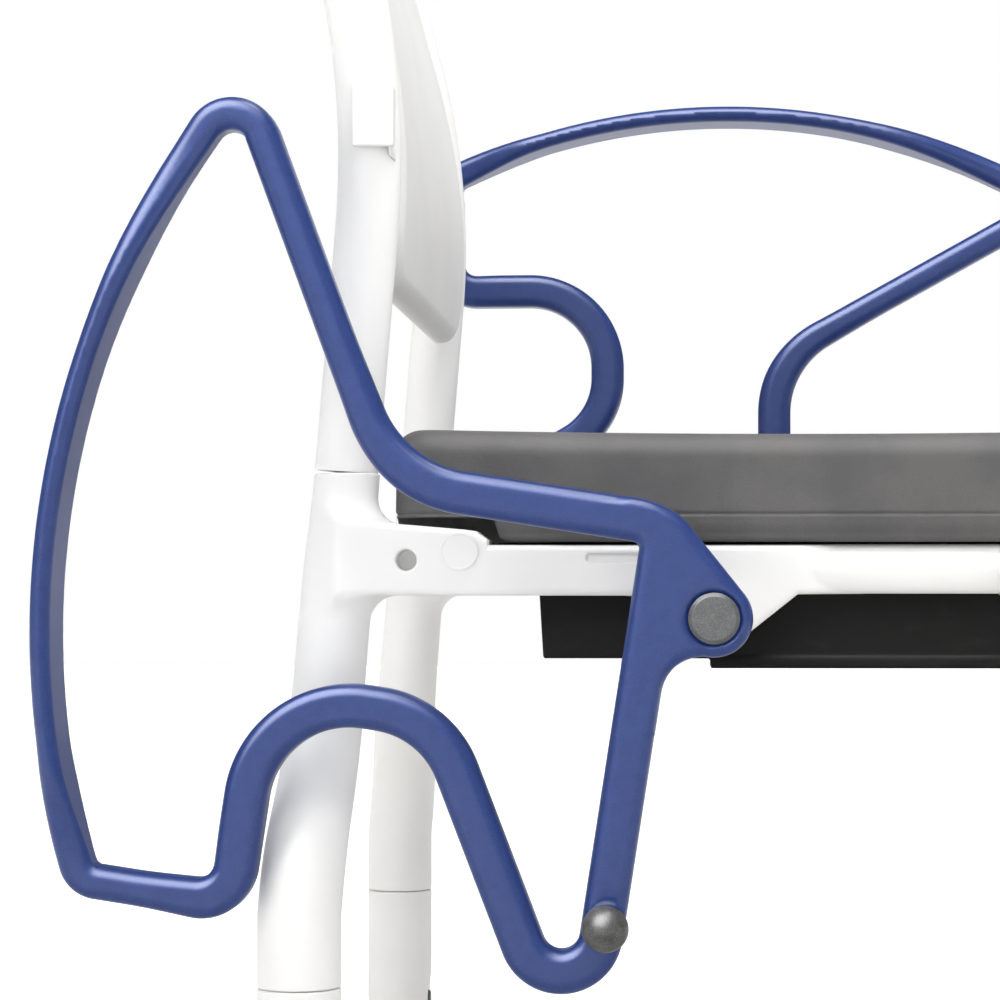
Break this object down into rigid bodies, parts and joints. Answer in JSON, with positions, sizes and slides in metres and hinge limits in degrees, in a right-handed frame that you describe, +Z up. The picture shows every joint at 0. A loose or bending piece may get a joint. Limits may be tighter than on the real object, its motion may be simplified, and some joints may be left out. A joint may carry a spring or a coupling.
{
  "type": "shower chair",
  "caption": "Free-standing shower chair with a padded open seat, a shell back, telescopic legs and arms that swing down behind the seat.",
  "frame": {"origin": "on the floor, under the middle of the whole chair's box with the right arm down and the left arm up", "axes": "+X is the way the sitter faces, +Y is the sitter's left, +Z is up"},
  "size_m": [0.6095, 0.6104, 0.8841],
  "materials": {
    "white": "smooth glossy white coating",
    "blue": "satin dark blue with fine speckle",
    "foam": "matte dark grey moulded foam skin",
    "black": "satin black",
    "cap": "matte dark grey",
    "steel": "plain steel",
    "alu": "satin anodised",
    "rubber": "matte black rubber"
  },
  "bodies": {
    "frame": {"seat_pad": "foam", "seat_base": "black", "back_panel": "white", "rear_cross_tube": "white", "front_cross_tube": "white", "right_rear_leg": "white", "right_front_leg": "white", "right_back_upright": "white", "right_back_hook": "white", "right_seat_rail": "white", "right_pivot_axle": "steel", "right_pivot_cap": "cap", "right_rear_plug": "white", "right_front_plug": "white", "right_pan_rail": "black", "left_rear_leg": "white", "left_front_leg": "white", "left_back_upright": "white", "left_back_hook": "white", "left_seat_rail": "white", "left_pivot_axle": "steel", "left_pivot_cap": "cap", "left_rear_plug": "white", "left_front_plug": "white", "left_pan_rail": "black", "right_rear_sleeve": "white", "right_front_sleeve": "white", "left_rear_sleeve": "white", "left_front_sleeve": "white"},
    "right_arm": {"right_arm": "blue", "right_pivot_bush": "black", "right_lock_bush": "black", "right_lock_spring": "steel"},
    "right_lock": {"right_lock_pin": "steel", "right_lock_knob": "black"},
    "left_arm": {"left_arm": "blue", "left_pivot_bush": "black", "left_lock_bush": "black", "left_lock_spring": "steel"},
    "left_lock": {"left_lock_pin": "steel", "left_lock_knob": "black"},
    "right_rear_lower_leg": {"right_rear_leg_tube": "alu", "right_rear_foot": "rubber"},
    "right_rear_height_button": {"right_rear_button": "cap"},
    "right_front_lower_leg": {"right_front_leg_tube": "alu", "right_front_foot": "rubber"},
    "right_front_height_button": {"right_front_button": "cap"},
    "left_rear_lower_leg": {"left_rear_leg_tube": "alu", "left_rear_foot": "rubber"},
    "left_rear_height_button": {"left_rear_button": "cap"},
    "left_front_lower_leg": {"left_front_leg_tube": "alu", "left_front_foot": "rubber"},
    "left_front_height_button": {"left_front_button": "cap"}
  },
  "joints": [
    {"name": "right_arm_swing", "type": "hinge", "parent": "frame", "child": "right_arm", "pos_m": [0.0266, -0.26, 0.375], "axis": [0, 1, 0], "range_deg": [0, 81.2]},
    {"name": "left_arm_swing", "type": "hinge", "parent": "frame", "child": "left_arm", "pos_m": [0.0266, 0.26, 0.375], "axis": [0, 1, 0], "range_deg": [-81.2, 0]},
    {"name": "right_lock_pull", "type": "slide", "parent": "right_arm", "child": "right_lock", "axis": [0, 1, 0], "range_m": [0, 0.01]},
    {"name": "left_lock_pull", "type": "slide", "parent": "left_arm", "child": "left_lock", "axis": [0, -1, 0], "range_m": [0, 0.01]},
    {"name": "right_rear_leg_extend", "type": "slide", "parent": "frame", "child": "right_rear_lower_leg", "axis": [0, 0, -1], "range_m": [0, 0.1]},
    {"name": "right_rear_button_press", "type": "slide", "parent": "frame", "child": "right_rear_height_button", "axis": [-1, 0, 0], "range_m": [0, 0.0022], "stiffness_N_per_m": 400, "springref_m": -0.002},
    {"name": "right_front_leg_extend", "type": "slide", "parent": "frame", "child": "right_front_lower_leg", "axis": [0, 0, -1], "range_m": [0, 0.1]},
    {"name": "right_front_button_press", "type": "slide", "parent": "frame", "child": "right_front_height_button", "axis": [-1, 0, 0], "range_m": [0, 0.0022], "stiffness_N_per_m": 400, "springref_m": -0.002},
    {"name": "left_rear_leg_extend", "type": "slide", "parent": "frame", "child": "left_rear_lower_leg", "axis": [0, 0, -1], "range_m": [0, 0.1]},
    {"name": "left_rear_button_press", "type": "slide", "parent": "frame", "child": "left_rear_height_button", "axis": [-1, 0, 0], "range_m": [0, 0.0022], "stiffness_N_per_m": 400, "springref_m": -0.002},
    {"name": "left_front_leg_extend", "type": "slide", "parent": "frame", "child": "left_front_lower_leg", "axis": [0, 0, -1], "range_m": [0, 0.1]},
    {"name": "left_front_button_press", "type": "slide", "parent": "frame", "child": "left_front_height_button", "axis": [-1, 0, 0], "range_m": [0, 0.0022], "stiffness_N_per_m": 400, "springref_m": -0.002}
  ]
}
